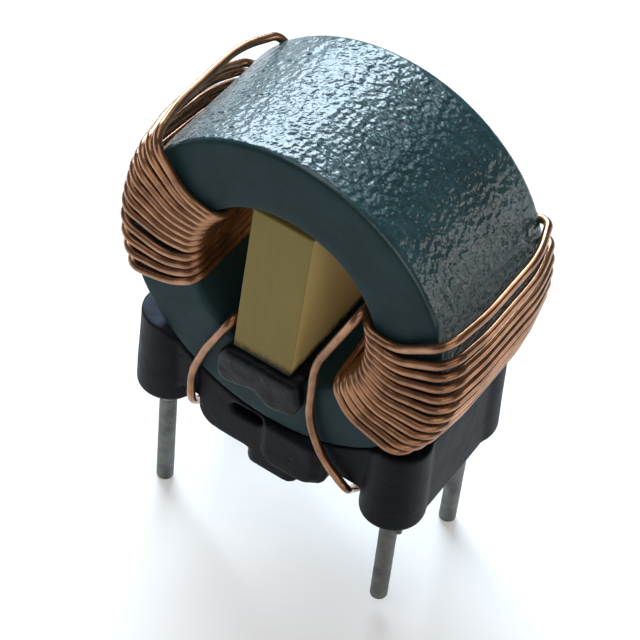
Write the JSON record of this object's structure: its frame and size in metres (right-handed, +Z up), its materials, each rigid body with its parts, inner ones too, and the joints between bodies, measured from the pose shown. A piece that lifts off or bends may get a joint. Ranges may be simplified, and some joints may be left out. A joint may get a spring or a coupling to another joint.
{
  "type": "common mode choke",
  "caption": "Upright toroidal common mode choke: coated ring core with two copper windings and a divider, glued in a black moulded base with straight round pins.",
  "frame": {"origin": "middle of the pin pattern, on the seating plane of the two stand-off feet under the base", "axes": "+Z up out of the board, +X along the long side of the pin pattern, ring axis along Y, the pictured front face towards -Y"},
  "size_m": [0.022, 0.0118, 0.032],
  "materials": {
    "core_coat": "glossy epoxy coat",
    "copper_wire": "enamelled copper",
    "divider_fibre": "cut glass-fibre laminate",
    "base_plastic": "moulded, satin",
    "black_glue": "cured adhesive",
    "tinned_pin": "dull tin",
    "solder": "solder"
  },
  "bodies": {
    "root": {"toroid_core": "core_coat", "winding_left": "copper_wire", "winding_right": "copper_wire", "divider_plate": "divider_fibre", "base": "base_plastic", "glue_bead_front": "black_glue", "glue_bead_back": "black_glue", "pin_front_left": "tinned_pin", "pin_front_right": "tinned_pin", "pin_back_left": "tinned_pin", "pin_back_right": "tinned_pin", "solder_front_left": "solder", "solder_front_right": "solder", "solder_back_left": "solder", "solder_back_right": "solder"}
  },
  "joints": []
}
